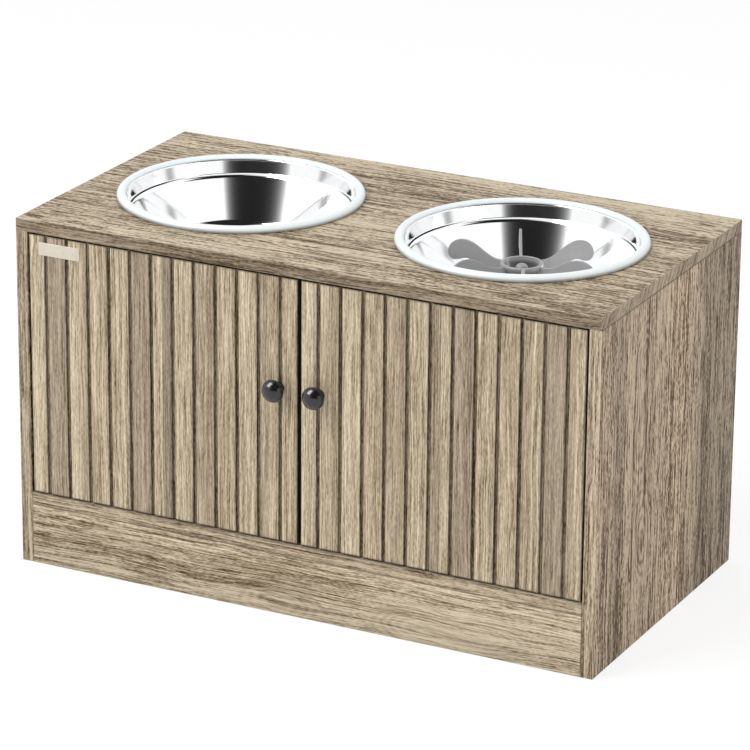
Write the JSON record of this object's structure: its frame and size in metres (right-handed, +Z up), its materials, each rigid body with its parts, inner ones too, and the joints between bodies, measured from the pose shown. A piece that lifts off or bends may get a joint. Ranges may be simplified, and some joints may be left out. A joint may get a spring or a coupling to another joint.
{
  "type": "elevated pet feeder",
  "caption": "Raised pet feeder: a low wooden storage cabinet with hinged plank doors and knobs, carrying lift-out steel bowls in its top and a removable slow-feeding insert.",
  "frame": {"origin": "middle of the whole outline, knobs included, on the floor the cabinet stands on", "axes": "+X along the width to the right, +Y from the doors to the back panel, +Z up"},
  "size_m": [0.6, 0.3396, 0.3517],
  "materials": {
    "board_top": "grey-brown oak-print foil, satin, grain along the width",
    "board_side": "grey-brown oak-print foil, satin, upright grain",
    "board_bottom": "grey-brown oak-print foil, satin",
    "board_plinth": "grey-brown oak-print foil, satin",
    "panel_back": "thin hardboard, matt",
    "door_front": "planks of alternating light and dark oak print, satin",
    "label": "blank plate, satin",
    "knob_black": "black, glossy",
    "steel_screw": "zinc plated",
    "steel_pin": "turned",
    "bushing": "natural nylon",
    "catch_case": "dark moulded plastic",
    "magnet": "dark ferrite",
    "steel_plate": "zinc plated sheet",
    "bowl_steel": "mirror-polished stainless steel",
    "rim_ring": "pale soft ring, satin",
    "feeder_plastic": "mid-grey moulded plastic, satin",
    "suction_rubber": "pale soft rubber",
    "cam_bolt": "yellow zinc plated",
    "cam_zinc": "cast zinc",
    "dowel_wood": "plain beech",
    "corner_plastic": "off-white moulded plastic"
  },
  "bodies": {
    "cabinet": {"top_board": "board_top", "left_side": "board_side", "right_side": "board_side", "bottom_board": "board_bottom", "front_plinth": "board_plinth", "rear_plinth": "board_plinth", "back_panel": "panel_back", "pivot_bushings": "bushing", "catch_cases": "catch_case", "catch_magnets": "magnet", "catch_pole_plates": "steel_plate", "catch_screws": "steel_screw", "cam_bolts": "cam_bolt", "cam_discs": "cam_zinc", "dowels": "dowel_wood", "corner_blocks": "corner_plastic", "corner_block_screws": "steel_screw", "back_panel_screws": "steel_screw"},
    "left_leaf": {"left_door": "door_front", "label_plate": "label", "left_knob": "knob_black", "left_knob_screw": "steel_screw", "left_pivot_pins": "steel_pin", "left_strike_plate": "steel_plate", "left_strike_screw": "steel_screw"},
    "right_leaf": {"right_door": "door_front", "right_knob": "knob_black", "right_knob_screw": "steel_screw", "right_pivot_pins": "steel_pin", "right_strike_plate": "steel_plate", "right_strike_screw": "steel_screw"},
    "left_bowl_set": {"left_bowl": "bowl_steel", "left_rim_ring": "rim_ring"},
    "right_bowl_set": {"right_bowl": "bowl_steel", "right_rim_ring": "rim_ring"},
    "feeder_set": {"slow_feeder": "feeder_plastic", "suction_cup": "suction_rubber"}
  },
  "joints": [
    {"name": "left_door_hinge", "type": "hinge", "parent": "cabinet", "child": "left_leaf", "pos_m": [-0.274, -0.14375, 0.2], "axis": [0, 0, -1], "range_deg": [0, 120]},
    {"name": "right_door_hinge", "type": "hinge", "parent": "cabinet", "child": "right_leaf", "pos_m": [0.274, -0.14375, 0.2], "axis": [0, 0, 1], "range_deg": [0, 120]},
    {"name": "left_bowl_lift", "type": "slide", "parent": "cabinet", "child": "left_bowl_set", "axis": [0, 0, 1], "range_m": [0, 0.1]},
    {"name": "right_bowl_lift", "type": "slide", "parent": "cabinet", "child": "right_bowl_set", "axis": [0, 0, 1], "range_m": [0, 0.1]},
    {"name": "slow_feeder_lift", "type": "slide", "parent": "right_bowl_set", "child": "feeder_set", "axis": [0, 0, 1], "range_m": [0, 0.09]}
  ]
}
